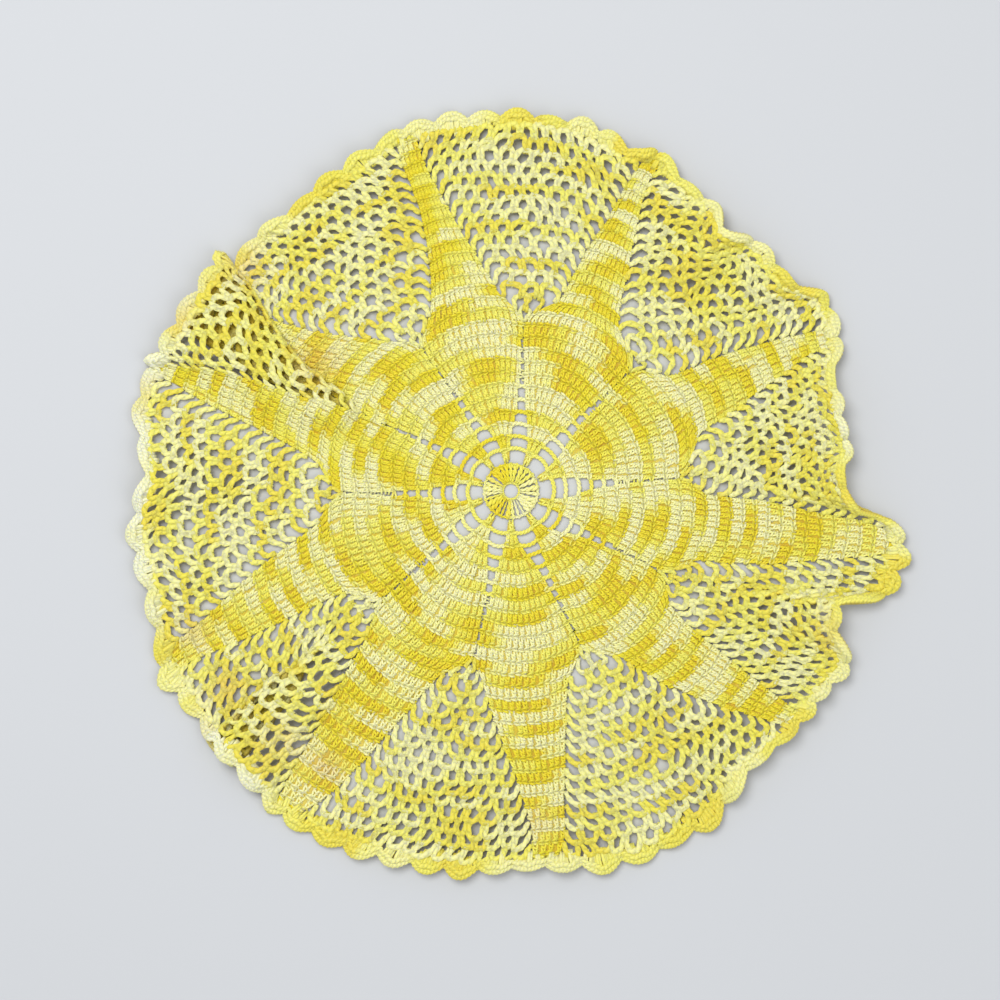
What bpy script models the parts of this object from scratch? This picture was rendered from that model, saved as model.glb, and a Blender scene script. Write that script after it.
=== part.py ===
"""A crocheted lace doily, lying face up: a ring, ten solid petals, ten fans of net and a scalloped edge.

It is worked in one piece from the middle outwards, so it is one closed sheet here. A point is first given
in the work's own terms: `row`, how many rows it is outside the ring, and `sector`, how far round it is. A
petal's middle is at each whole sector, and the middle of a ladder and its fan of net is half way between
two petals. lay() then gives the place where that point lies, with the uneven pull, the ruffles and the
two pleats of the real one.
Counted from the right, counterclockwise seen from above, in millimetres until the mesh is made.
"""

import math
from collections import namedtuple

import bpy
import numpy as np
from mathutils import Vector
from mathutils.geometry import delaunay_2d_cdt

MM = 0.001

# The work: its cloth, its ring, and its rows of double crochet.
THICKNESS = 1.8
SECTORS = 10
CENTRE_HOLE_RADIUS = 3.6
CENTRE_HOLE_SIDES = 16
RING_RADIUS = 14.7
ROW_HEIGHT = 6.15
STITCH_WIDTH = 2.8
SEAM_WIDTH = 0.6
ROOT_ROW = 5.0
WAIST_ROW = 11.0
RIM_ROW = 28.5
FLAT_REACH = RING_RADIUS + ROW_HEIGHT * RIM_ROW

# Where the ring's middle lies, so that the whole doily is centred over the origin.
RING_X = -3.4
RING_Y = 1.1

# A petal's width once its neighbours leave it, drawn in at once by the net and then narrowed to its tip.
Width = namedtuple("Width", "row across")
NARROWING = [
    Width(11.2, 51.6),
    Width(13.5, 35.6),
    Width(17.5, 28.0),
    Width(21.5, 21.0),
    Width(25.5, 13.8),
    Width(28.5, 9.0),
]

# The ladders between the petals' roots, and the net, cut at nearly twice its real pitch, in rows.
LADDER_CELLS = 3
LADDER_BAR = 0.4
LADDER_SIDE = 0.9
NET_FIRST_ROW = 11.6
NET_STEP = 2.25
NET_TIERS = 7
NET_BAR = 4.2
NET_POINT = 0.1
NET_SHOULDER = 0.85
NET_TOP = 1.6
NET_TOP_SHARE = 0.7

# The edge: scallops to each sector, how far a valley lies inside a crest, in rows, and a shoulder's place.
SCALLOPS = 8
SCALLOP_DEPTH = 0.6
SHOULDER = 0.3

# Pleats: the half length of cloth that turns at a crease, the most of the fold that it may take, how much
# of the fold's own length the cloth is drawn aside before its layers part, and the rows between its points.
TURN_HALF = 3.3
MOST_OF_FOLD = 0.45
LEAST_DRAWN = 0.89
PLEAT_ROWS = 1.5

# A ruffle rises from the waist out to the rim, ever more steeply.
LIFT_POWER = 1.8

# How the petals are pulled round: the angle, in degrees, of each petal's middle and of each seam between
# two, at the ring, at the root and at the waist.
Spoke = namedtuple("Spoke", "sector ring_deg root_deg waist_deg")
SPOKES = [
    Spoke(0.0, 24.0, 25.0, 24.9),
    Spoke(0.5, 43.5, 45.5, 45.2),
    Spoke(1.0, 62.0, 64.3, 65.5),
    Spoke(1.5, 80.0, 83.5, 85.8),
    Spoke(2.0, 97.5, 101.3, 103.8),
    Spoke(2.5, 113.0, 119.5, 121.8),
    Spoke(3.0, 128.5, 134.5, 137.2),
    Spoke(3.5, 146.5, 150.0, 152.5),
    Spoke(4.0, 164.5, 165.5, 166.5),
    Spoke(4.5, 181.5, 181.5, 180.6),
    Spoke(5.0, 198.5, 200.0, 200.2),
    Spoke(5.5, 216.0, 219.0, 219.8),
    Spoke(6.0, 234.0, 238.0, 238.6),
    Spoke(6.5, 252.5, 257.3, 257.5),
    Spoke(7.0, 269.5, 275.0, 275.9),
    Spoke(7.5, 287.0, 292.8, 294.2),
    Spoke(8.0, 305.0, 311.5, 313.0),
    Spoke(8.5, 323.0, 330.5, 331.8),
    Spoke(9.0, 342.0, 347.5, 348.2),
    Spoke(9.5, 362.5, 364.6, 364.5),
]

# The same for each petal's two edges, beside the net, at four rows. A side is a quarter of a place from the
# middle.
SIDE = 0.25
NET_ROWS = (13.5, 17.5, 21.5, 25.5)
Edge = namedtuple("Edge", "place near_deg middle_deg far_deg outer_deg")
EDGES = [
    Edge(0 - SIDE, 17.0, 20.5, 23.0, 24.5),
    Edge(0 + SIDE, 35.5, 33.0, 30.3, 28.0),
    Edge(1 - SIDE, 57.5, 62.0, 64.7, 66.0),
    Edge(1 + SIDE, 75.5, 72.8, 70.2, 69.0),
    Edge(2 - SIDE, 93.5, 99.5, 103.0, 105.0),
    Edge(2 + SIDE, 113.8, 109.3, 108.0, 108.3),
    Edge(3 - SIDE, 131.0, 140.0, 144.0, 146.5),
    Edge(3 + SIDE, 151.8, 154.0, 153.5, 152.5),
    Edge(4 - SIDE, 154.2, 156.3, 157.0, 159.0),
    Edge(4 + SIDE, 171.0, 166.7, 164.5, 162.5),
    Edge(5 - SIDE, 190.0, 195.7, 200.5, 203.8),
    Edge(5 + SIDE, 211.0, 209.8, 209.0, 208.0),
    Edge(6 - SIDE, 224.5, 228.0, 230.5, 232.0),
    Edge(6 + SIDE, 248.7, 244.3, 241.5, 238.7),
    Edge(7 - SIDE, 262.5, 267.7, 271.7, 273.5),
    Edge(7 + SIDE, 286.7, 282.7, 280.3, 278.8),
    Edge(8 - SIDE, 303.3, 308.7, 313.7, 318.0),
    Edge(8 + SIDE, 324.0, 322.5, 322.3, 322.3),
    Edge(9 - SIDE, 339.5, 343.0, 346.7, 349.5),
    Edge(9 + SIDE, 358.7, 358.0, 356.0, 355.0),
]

# The rim: each place's angle, how far it reaches from the ring's middle, and how high its ruffle stands.
Rim = namedtuple("Rim", "sector deg reach lift")
RIM = [
    Rim(0.00, 25.2, 179.0, 4),
    Rim(0.20, 31.6, 183.0, 2),
    Rim(0.35, 37.6, 171.5, 8),
    Rim(0.50, 45.6, 172.0, 9),
    Rim(0.62, 50.0, 165.0, 14),
    Rim(0.72, 54.0, 171.5, 9),
    Rim(0.85, 60.5, 175.0, 8),
    Rim(1.00, 66.6, 183.0, 5),
    Rim(1.10, 69.6, 178.5, 7),
    Rim(1.25, 76.0, 184.0, 3),
    Rim(1.50, 86.7, 186.0, 5),
    Rim(1.75, 97.0, 187.0, 2),
    Rim(2.00, 106.6, 188.0, 2),
    Rim(2.18, 114.0, 181.0, 5),
    Rim(2.42, 124.5, 178.0, 5),
    Rim(2.58, 131.0, 176.0, 6),
    Rim(2.70, 136.0, 178.5, 3),
    Rim(2.85, 143.5, 177.0, 1),
    Rim(3.00, 152.0, 177.0, 0),
    Rim(3.46, 156.0, 178.0, 0),
    Rim(3.75, 158.4, 185.0, 0),
    Rim(4.00, 160.5, 189.0, 0),
    Rim(4.15, 167.0, 191.0, 0),
    Rim(4.30, 172.5, 185.5, 4),
    Rim(4.45, 178.0, 181.0, 7),
    Rim(4.60, 184.0, 187.0, 3),
    Rim(4.72, 188.5, 189.0, 1),
    Rim(4.88, 196.0, 187.0, 4),
    Rim(4.94, 201.0, 189.5, 2),
    Rim(5.00, 206.9, 196.0, 0),
    Rim(5.30, 215.2, 192.0, 2),
    Rim(5.80, 228.0, 193.0, 2),
    Rim(6.00, 234.5, 198.0, 0),
    Rim(6.17, 241.5, 197.5, 0),
    Rim(6.40, 250.5, 193.0, 3),
    Rim(6.68, 262.0, 190.0, 3),
    Rim(7.00, 275.0, 187.5, 5),
    Rim(7.19, 284.0, 191.5, 3),
    Rim(7.40, 294.0, 194.0, 0),
    Rim(7.58, 302.0, 190.5, 2),
    Rim(7.78, 311.4, 181.5, 8),
    Rim(7.95, 319.5, 183.0, 8),
    Rim(8.17, 327.0, 184.0, 7),
    Rim(8.35, 332.5, 188.0, 6),
    Rim(8.53, 337.7, 173.0, 13),
    Rim(8.62, 340.6, 171.0, 11),
    Rim(8.70, 342.8, 184.0, 6),
    Rim(8.78, 345.2, 195.5, 3),
    Rim(9.00, 352.2, 196.5, 3),
    Rim(9.12, 356.0, 187.0, 6),
    Rim(9.22, 359.6, 165.0, 14),
    Rim(9.33, 363.0, 163.0, 15),
    Rim(9.43, 366.5, 167.5, 12),
    Rim(9.61, 372.5, 166.0, 14),
    Rim(9.81, 379.0, 169.0, 11),
]

# The two pleats, each in the net after its petal, where the cloth is doubled back over itself. Each row of
# the work has a first crease, hidden below, and a second on top of it, given by their sectors. The net is
# drawn aside, `over` at the first crease and back `under` at the second; above its own lower layers it lies
# a step higher for each crease, and it is down again at `down`.
Crease = namedtuple("Crease", "row first second down over under step")
Pleat = namedtuple("Pleat", "petal creases")
PLEATS = [
    Pleat(3, [
        Crease(11.2, 3.49, 3.51, 3.90, 0.0, 0.0, 0.0),
        Crease(12.3, 3.42, 3.56, 4.00, 1.8, 2.2, 2.6),
        Crease(13.5, 3.38, 3.585, 4.05, 3.6, 4.6, 3.2),
        Crease(17.5, 3.257, 3.533, 4.15, 3.4, 13.9, 3.2),
        Crease(21.5, 3.19, 3.51, 4.10, 5.0, 25.1, 3.2),
        Crease(25.5, 3.13, 3.45, 4.05, 4.0, 39.2, 3.2),
        Crease(28.5, 3.10, 3.425, 4.05, 3.0, 45.6, 3.2),
    ]),
    Pleat(5, [
        Crease(14.5, 5.42, 5.60, 5.95, 0.0, 0.0, 0.0),
        Crease(17.5, 5.44, 5.60, 5.95, 2.5, 2.5, 2.2),
        Crease(19.4, 5.45, 5.60, 5.95, 7.0, 6.2, 3.2),
        Crease(21.5, 5.465, 5.60, 5.95, 11.9, 9.7, 3.2),
        Crease(25.5, 5.479, 5.611, 5.95, 15.3, 11.2, 3.2),
        Crease(28.5, 5.48, 5.61, 5.95, 16.0, 13.0, 3.2),
    ]),
]


def smooth(x):
    """0 below 0, 1 above 1, and an eased step between."""
    t = np.clip(x, 0.0, 1.0)
    return t * t * (3 - 2 * t)


def curve_through(at, value):
    """A smooth curve through the rows of values that never overshoots one, level at both ends."""
    value = np.asarray(value, float)
    width = np.diff(at).reshape(-1, *[1] * (value.ndim - 1))
    slope = np.diff(value, axis=0) / width
    before, after = slope[:-1], slope[1:]
    one_way = before * after > 0
    safe_before = np.where(one_way, before, 1.0)
    safe_after = np.where(one_way, after, 1.0)
    weight_a = 2 * width[1:] + width[:-1]
    weight_b = width[1:] + 2 * width[:-1]
    mean = (weight_a + weight_b) / (weight_a / safe_before + weight_b / safe_after)
    level = np.zeros_like(value[:1])
    tangent = np.concatenate([level, np.where(one_way, mean, 0.0), level])

    def pick(rows, i):
        return rows[i] if rows.ndim == 1 else np.take_along_axis(rows, i[None], 0)[0]

    def curve(x):
        i = np.clip(np.searchsorted(at, x, side="right") - 1, 0, len(at) - 2)
        span = np.diff(at)[i]
        t = np.clip((x - np.asarray(at)[i]) / span, 0.0, 1.0)
        start = pick(value, i) * (1 + 2 * t) * (1 - t) ** 2 + pick(tangent, i) * span * t * (1 - t) ** 2
        end = pick(value, i + 1) * t * t * (3 - 2 * t) - pick(tangent, i + 1) * span * t * t * (1 - t)
        return start + end

    return curve


def round_the_work(table, key, column, turn=0.0):
    """A curve through one column of a table, over its key, that closes on itself having grown by turn."""
    at = np.array([getattr(row, key) for row in table])
    value = np.array([getattr(row, column) for row in table], float)
    at = np.concatenate([at[-3:] - SECTORS, at, at[:3] + SECTORS])
    value = np.concatenate([value[-3:] - turn, value, value[:3] + turn])
    return curve_through(at, value)


RING_DEG, ROOT_DEG, WAIST_DEG = (
    round_the_work(SPOKES, "sector", column, 360) for column in ("ring_deg", "root_deg", "waist_deg")
)
EDGE_DEGS = [round_the_work(EDGES, "place", column, 360) for column in Edge._fields[1:]]
RIM_DEG = round_the_work(RIM, "sector", "deg", 360)
REACH = round_the_work(RIM, "sector", "reach")
LIFT = round_the_work(RIM, "sector", "lift")
STATIONS = np.array([0.0, ROOT_ROW, WAIST_ROW, *NET_ROWS, RIM_ROW])


def arc(row):
    """How long a sector is along a row of the work."""
    return 2 * math.pi * (RING_RADIUS + ROW_HEIGHT * np.asarray(row, float)) / SECTORS


def petal_share(row):
    """Half of a petal's width at a row, in sectors: two stitches wider each row, until it narrows."""
    growing = STITCH_WIDTH * np.maximum(2 * np.asarray(row, float) - 1, 1)
    narrowing = np.interp(row, *zip(*NARROWING))
    met = np.minimum(growing, arc(row) - SEAM_WIDTH)
    return np.where(np.asarray(row) < NARROWING[0].row, met, np.minimum(met, narrowing)) / arc(row) / 2


def net_share(row):
    """Half of the gap or net between two petals at a row, in sectors."""
    return 0.5 - petal_share(row)


def as_place(row, sector):
    """A sector's place between the edges: a petal's sides are a quarter from its middle at every row."""
    petal = np.round(sector)
    off = np.abs(sector - petal)
    half = petal_share(row)
    in_net = 0.5 - (0.5 - off) / (0.5 - half) * (0.5 - SIDE)
    return petal + np.sign(sector - petal) * np.where(off < half, off / half * SIDE, in_net)


def as_sector(row, place):
    """The sector of a place at a row."""
    petal = np.round(place)
    off = np.abs(place - petal)
    half = petal_share(row)
    in_net = 0.5 - (0.5 - off) / (0.5 - SIDE) * (0.5 - half)
    return petal + np.sign(place - petal) * np.where(off < SIDE, off / SIDE * half, in_net)


def spread(row, sector):
    """Each point's angle, distance from the ring's middle and height, before the pleats are laid."""
    row, sector = np.broadcast_arrays(np.atleast_1d(np.asarray(row, float)), sector)
    outside = np.maximum(row, 0.0)
    place = as_place(outside, sector)
    rim_sector = as_sector(RIM_ROW, place)
    spokes = ((0.0, RING_DEG), (ROOT_ROW, ROOT_DEG), (WAIST_ROW, WAIST_DEG), (RIM_ROW, RIM_DEG))
    degrees = [degree(as_sector(at, place)) for at, degree in spokes]
    degrees[3:3] = [degree(place) for degree in EDGE_DEGS]
    past_waist = np.clip((row - WAIST_ROW) / (RIM_ROW - WAIST_ROW), 0.0, None)
    reach = RING_RADIUS + ROW_HEIGHT * row + (REACH(rim_sector) - FLAT_REACH) * past_waist**2
    return np.radians(curve_through(STATIONS, degrees)(outside)), reach, LIFT(rim_sector) * past_waist**LIFT_POWER


def creases(pleat, row):
    """The pleat's own table, read off at any row of the work."""
    stations = np.array([crease.row for crease in pleat.creases])
    read = [curve_through(stations, column) for column in zip(*pleat.creases)]
    return Crease(*[column(np.asarray(row, float)) for column in read])


def turns(at, row):
    """Where the cloth stands upright inside the two creases, and half of a turn, in sectors."""
    (from_angle, reach, _), (to_angle, _, _) = spread(row, at.first), spread(row, at.second)
    drawn = np.maximum((at.over + at.under) / (reach * (to_angle - from_angle)), LEAST_DRAWN)
    upright = (at.second - at.first) * (1 - np.sqrt(1 - 2 / 3 / drawn)) / 2
    lower, upper = at.first + upright, at.second - upright
    return lower, upper, np.minimum(TURN_HALF / arc(row), MOST_OF_FOLD * (upper - lower))


def pleat_folds(pleat, row, sector):
    """How far a point is drawn aside by a pleat, and how high its layer lies."""
    at = creases(pleat, row)
    start, end = pleat.petal + petal_share(row), pleat.petal + 1 - petal_share(row)
    aside = at.over * smooth((sector - start) / (at.first - start))
    aside -= (at.over + at.under) * smooth((sector - at.first) / (at.second - at.first))
    aside += at.under * smooth((sector - at.second) / (end - at.second))
    lower, upper, half = turns(at, row)
    layers = smooth((sector - lower) / half / 2 + 0.5) + smooth((sector - upper) / half / 2 + 0.5)
    clear = 2 * at.second - at.first
    high = at.step * layers * (1 - smooth((sector - clear) / (at.down - clear)))
    folded = row > pleat.creases[0].row
    return np.where(folded, aside, 0.0), np.where(folded, high, 0.0)


def lay(row, sector):
    """Where points of the work lie: the middle of the cloth's thickness."""
    angle, reach, height = spread(row, sector)
    aside = np.zeros_like(angle)
    for pleat in PLEATS:
        more_aside, more_height = pleat_folds(pleat, row, sector)
        aside += more_aside
        height = height + more_height
    x = RING_X + reach * np.cos(angle) - aside * np.sin(angle)
    y = RING_Y + reach * np.sin(angle) + aside * np.cos(angle)
    return np.stack([x, y, THICKNESS / 2 + height], axis=-1)


def flat(row, sector):
    """The point's place in the flat round of the work, where its triangles are found."""
    angle = 2 * math.pi * sector / SECTORS
    radius = RING_RADIUS + ROW_HEIGHT * row
    return Vector((radius * math.cos(angle), radius * math.sin(angle)))


def unflat(point):
    """The row and sector of a point of the flat round."""
    row = (point.length - RING_RADIUS) / ROW_HEIGHT
    return row, math.atan2(point.y, point.x) / (2 * math.pi) * SECTORS % SECTORS


def pleat_columns(pleat, row):
    """The sectors along a row where a pleat turns."""
    lower, upper, half = (float(value[0]) for value in turns(creases(pleat, row), row))
    steps = half * np.array([-2.0, -1.0, -0.5, 0.0, 0.5, 1.0])
    return [*(lower + steps), (lower + upper) / 2, *(upper - steps[::-1])]


def pleat_slopes(pleat, row):
    """The sectors along a row where the cloth beside a pleat bends a little."""
    at = creases(pleat, row)
    clear = 2 * at.second - at.first
    return [clear, (clear + at.down) / 2, at.down]


def pleat_rows(pleat):
    """The rows at which a pleat's points are set."""
    return np.arange(pleat.creases[0].row + 0.5, RIM_ROW - PLEAT_ROWS / 2, PLEAT_ROWS)


def pleat_lines():
    """The lines of points along each pleat, out to the rim, that its turns follow."""
    for pleat in PLEATS:
        across = [[(row, sector) for sector in pleat_columns(pleat, row)] for row in pleat_rows(pleat)]
        across.append([(rim_row(sector), sector) for sector in pleat_columns(pleat, RIM_ROW)])
        yield from zip(*across)


def ladder_holes():
    """The cells between the petals' roots, each with four corners."""
    for fan in range(SECTORS):
        for cell in range(LADDER_CELLS):
            corners = []
            for row, sides in ((cell + LADDER_BAR / 2, (1, -1)), (cell + 1 - LADDER_BAR / 2, (-1, 1))):
                reach = float(net_share(row)) - LADDER_SIDE / float(arc(row))
                corners += [(row, fan + 0.5 + side * reach) for side in sides]
            yield corners


def net_holes():
    """The net's openings: each has its point inwards, between the two below it, and a straight top."""
    shape = [
        (NET_POINT, 0),
        (NET_SHOULDER, -1),
        (NET_TOP, -NET_TOP_SHARE),
        (NET_TOP, NET_TOP_SHARE),
        (NET_SHOULDER, 1),
    ]
    for fan in range(SECTORS):
        for tier in range(NET_TIERS):
            count = tier + 1
            for cell in range(count):
                middle = -1 + (2 * cell + 1) / count
                corners = []
                for up, side in shape:
                    row = NET_FIRST_ROW + NET_STEP * tier + up
                    half = float(net_share(row))
                    reach = 1 / count - NET_BAR / 2 / (half * float(arc(row)))
                    corners.append((row, fan + 0.5 + half * (middle + side * reach)))
                if not any(in_pleat(row, sector) for row, sector in corners):
                    yield corners


def in_pleat(row, sector):
    """Whether a point is in the strip that a pleat bends, which stays uncut."""
    for pleat in PLEATS:
        if row > pleat.creases[0].row:
            columns = pleat_columns(pleat, row)
            if columns[0] < sector < columns[-1]:
                return True
    return False


def centre_hole():
    """The ring's hole."""
    row = (CENTRE_HOLE_RADIUS - RING_RADIUS) / ROW_HEIGHT
    return [(row, SECTORS * side / CENTRE_HOLE_SIDES) for side in range(CENTRE_HOLE_SIDES)]


def rim_row(sector):
    """The row where the scalloped edge ends."""
    swell = min(1.0, abs(math.sin(math.pi * SCALLOPS * sector)) / math.sin(math.pi * SHOULDER))
    return RIM_ROW - SCALLOP_DEPTH * (1 - swell)


def scalloped_rim():
    """The edge, a valley and two shoulders to each scallop, and the bends of the pleats."""
    parts = (0.0, SHOULDER, 1 - SHOULDER)
    stops = [(k + part) / SCALLOPS for k in range(SECTORS * SCALLOPS) for part in parts]
    apart = SHOULDER / SCALLOPS / 2
    for pleat in PLEATS:
        columns = pleat_columns(pleat, RIM_ROW)
        stops = [stop for stop in stops if min(abs(stop - column) for column in columns) > apart]
        stops += columns
    return [(rim_row(sector), sector) for sector in sorted(stops)]


def inner_points():
    """Points inside the cloth that let it bend: down each petal and its edges, and beside the pleats."""
    points = []
    for petal in range(SECTORS):
        for row in np.arange(3.0, RIM_ROW - 1, 2.5):
            half = float(petal_share(row))
            points += [(row, (petal + half * side) % SECTORS) for side in (-0.9, 0.0, 0.9)]
    for pleat in PLEATS:
        for row in pleat_rows(pleat):
            points += [(row, float(sector)) for sector in pleat_slopes(pleat, row)]
    return points


def doily_mesh():
    """The middle surface of the cloth, cut through at every opening."""
    outlines = [scalloped_rim(), centre_hole(), *ladder_holes(), *net_holes()]
    corners, loops, lines = [], [], []
    for outline in outlines:
        loops.append(list(range(len(corners), len(corners) + len(outline))))
        corners += [flat(*point) for point in outline]
    for line in pleat_lines():
        lines += [(place, place + 1) for place in range(len(corners), len(corners) + len(line) - 1)]
        corners += [flat(*point) for point in line]
    corners += [flat(*point) for point in inner_points()]
    found = delaunay_2d_cdt(corners, lines, loops, 0, 1e-4, True)
    points, triangles, inside = found[0], found[2], found[5]
    cloth = [triangle for triangle, loops_round in zip(triangles, inside) if list(loops_round) == [0]]
    used = sorted({corner for triangle in cloth for corner in triangle})
    number = {corner: place for place, corner in enumerate(used)}
    rows, sectors = np.array([unflat(points[corner]) for corner in used]).T
    mesh = bpy.data.meshes.new("doily")
    mesh.from_pydata((lay(rows, sectors) * MM).tolist(), [], [[number[c] for c in t] for t in cloth])
    mesh.update()
    return mesh


def cotton():
    """Pale yellow crochet cotton."""
    material = bpy.data.materials.new("crochet cotton")
    material.use_nodes = True
    shader = material.node_tree.nodes["Principled BSDF"]
    shader.inputs["Base Color"].default_value = (0.84, 0.70, 0.22, 1)
    shader.inputs["Roughness"].default_value = 0.9
    shader.inputs["Metallic"].default_value = 0.0
    return material


def build():
    """The doily: its middle surface, made solid to the cloth's thickness."""
    for leftover in list(bpy.data.objects):
        bpy.data.objects.remove(leftover)
    doily = bpy.data.objects.new("doily", doily_mesh())
    bpy.context.scene.collection.objects.link(doily)
    doily.data.materials.append(cotton())
    solid = doily.modifiers.new("thickness", "SOLIDIFY")
    solid.thickness = THICKNESS * MM
    solid.offset = 0.0


build()
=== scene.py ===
"""A crocheted lace doily in variegated yellow cotton, lying face up: its looks, stitch by stitch."""

import math
from collections import namedtuple

import bpy
import numpy as np
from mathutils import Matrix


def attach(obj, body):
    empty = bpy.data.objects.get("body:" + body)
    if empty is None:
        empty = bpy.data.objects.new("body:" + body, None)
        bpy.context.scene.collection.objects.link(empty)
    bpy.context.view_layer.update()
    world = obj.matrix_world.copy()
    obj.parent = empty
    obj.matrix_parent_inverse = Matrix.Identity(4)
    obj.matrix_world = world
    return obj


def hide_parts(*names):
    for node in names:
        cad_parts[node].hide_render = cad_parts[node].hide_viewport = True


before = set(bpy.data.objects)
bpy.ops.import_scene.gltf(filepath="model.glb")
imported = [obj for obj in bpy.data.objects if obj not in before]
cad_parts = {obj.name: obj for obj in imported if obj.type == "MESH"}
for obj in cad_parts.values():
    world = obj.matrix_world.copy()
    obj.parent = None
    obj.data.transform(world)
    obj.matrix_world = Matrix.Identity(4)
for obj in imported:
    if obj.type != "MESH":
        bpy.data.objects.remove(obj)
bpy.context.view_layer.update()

MM = 0.001

# ----------------------------------------------------------------------
# The close-worked ground: what is seen in the depth between the stitches of the petals and the edge, a sheet
# whose colour is darkened all over with painted shade. It is size 10 mercerised crochet cotton, worked so
# densely that it is a cloth, and it lies as it was put down: each petal pulled a little aside, the net
# ruffled, and two pleats laid over.
# ----------------------------------------------------------------------

# The work's own sizes, flat, in mm, and the rows where its parts start and end. The ring's middle is placed
# from the middle of the cloth's box.
SECTORS = 10
RING_RADIUS = 14.7
ROW_HEIGHT = 6.15
STITCH_WIDTH = 2.8
SEAM_WIDTH = 0.6
ROOT_ROW = 5.0
WAIST_ROW = 11.0
RIM_ROW = 28.5
FLAT_REACH = RING_RADIUS + ROW_HEIGHT * RIM_ROW
THICKNESS = 1.8
RING_X = -3.4
RING_Y = 1.1

# A petal's width once its neighbours leave it.
Width = namedtuple("Width", "row across")
NARROWING = [
    Width(11.2, 51.6),
    Width(13.5, 35.6),
    Width(17.5, 28.0),
    Width(21.5, 21.0),
    Width(25.5, 13.8),
    Width(28.5, 9.0),
]

# The edge: scallops to each sector, how far a valley lies inside a crest, in rows, and a shoulder's place.
SCALLOPS = 8
SCALLOP_DEPTH = 0.6
SHOULDER = 0.42

# How the cloth turns at a pleat's creases: half of a turn in mm, and its most as a share of the fold.
TURN_HALF = 3.3
MOST_OF_FOLD = 0.45
LEAST_DRAWN = 0.89

# A ruffle rises from the waist out to the rim, ever more steeply.
LIFT_POWER = 1.8

# How the petals are pulled round: the angle of each petal's middle and of each seam between two.
Spoke = namedtuple("Spoke", "sector ring_deg root_deg waist_deg")
SPOKES = [
    Spoke(0.0, 24.0, 25.0, 24.9),
    Spoke(0.5, 43.5, 45.5, 45.2),
    Spoke(1.0, 62.0, 64.3, 65.5),
    Spoke(1.5, 80.0, 83.5, 85.8),
    Spoke(2.0, 97.5, 101.3, 103.8),
    Spoke(2.5, 113.0, 119.5, 121.8),
    Spoke(3.0, 128.5, 134.5, 137.2),
    Spoke(3.5, 146.5, 150.0, 152.5),
    Spoke(4.0, 164.5, 165.5, 166.5),
    Spoke(4.5, 181.5, 181.5, 180.6),
    Spoke(5.0, 198.5, 200.0, 200.2),
    Spoke(5.5, 216.0, 219.0, 219.8),
    Spoke(6.0, 234.0, 238.0, 238.6),
    Spoke(6.5, 252.5, 257.3, 257.5),
    Spoke(7.0, 269.5, 275.0, 275.9),
    Spoke(7.5, 287.0, 292.8, 294.2),
    Spoke(8.0, 305.0, 311.5, 313.0),
    Spoke(8.5, 323.0, 330.5, 331.8),
    Spoke(9.0, 342.0, 347.5, 348.2),
    Spoke(9.5, 362.5, 364.6, 364.5),
]

# The same for each petal's two edges, beside the net, at four rows and at the rim. A side is a quarter of a
# place from the middle.
SIDE = 0.25
NET_ROWS = (13.5, 17.5, 21.5, 25.5)
Edge = namedtuple("Edge", "place near_deg middle_deg far_deg outer_deg rim_deg")
EDGES = [
    Edge(0 - SIDE, 17.0, 20.5, 23.0, 24.5, 24.0),
    Edge(0 + SIDE, 35.5, 33.0, 30.3, 28.0, 26.4),
    Edge(1 - SIDE, 57.5, 62.0, 64.7, 66.0, 65.2),
    Edge(1 + SIDE, 75.5, 72.8, 70.2, 69.0, 67.7),
    Edge(2 - SIDE, 93.5, 99.5, 103.0, 105.0, 105.1),
    Edge(2 + SIDE, 113.8, 109.3, 108.0, 108.3, 108.1),
    Edge(3 - SIDE, 131.0, 140.0, 144.0, 146.5, 150.7),
    Edge(3 + SIDE, 151.8, 154.0, 153.5, 152.5, 152.6),
    Edge(4 - SIDE, 154.2, 156.3, 157.0, 159.0, 160.0),
    Edge(4 + SIDE, 171.0, 166.7, 164.5, 162.5, 161.6),
    Edge(5 - SIDE, 190.0, 195.7, 200.5, 203.8, 205.2),
    Edge(5 + SIDE, 211.0, 209.8, 209.0, 208.0, 208.4),
    Edge(6 - SIDE, 224.5, 228.0, 230.5, 232.0, 233.2),
    Edge(6 + SIDE, 248.7, 244.3, 241.5, 238.7, 236.0),
    Edge(7 - SIDE, 262.5, 267.7, 271.7, 273.5, 273.4),
    Edge(7 + SIDE, 286.7, 282.7, 280.3, 278.8, 276.7),
    Edge(8 - SIDE, 303.3, 308.7, 313.7, 318.0, 320.0),
    Edge(8 + SIDE, 324.0, 322.5, 322.3, 322.3, 322.7),
    Edge(9 - SIDE, 339.5, 343.0, 346.7, 349.5, 351.0),
    Edge(9 + SIDE, 358.7, 358.0, 356.0, 355.0, 353.4),
]

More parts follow.
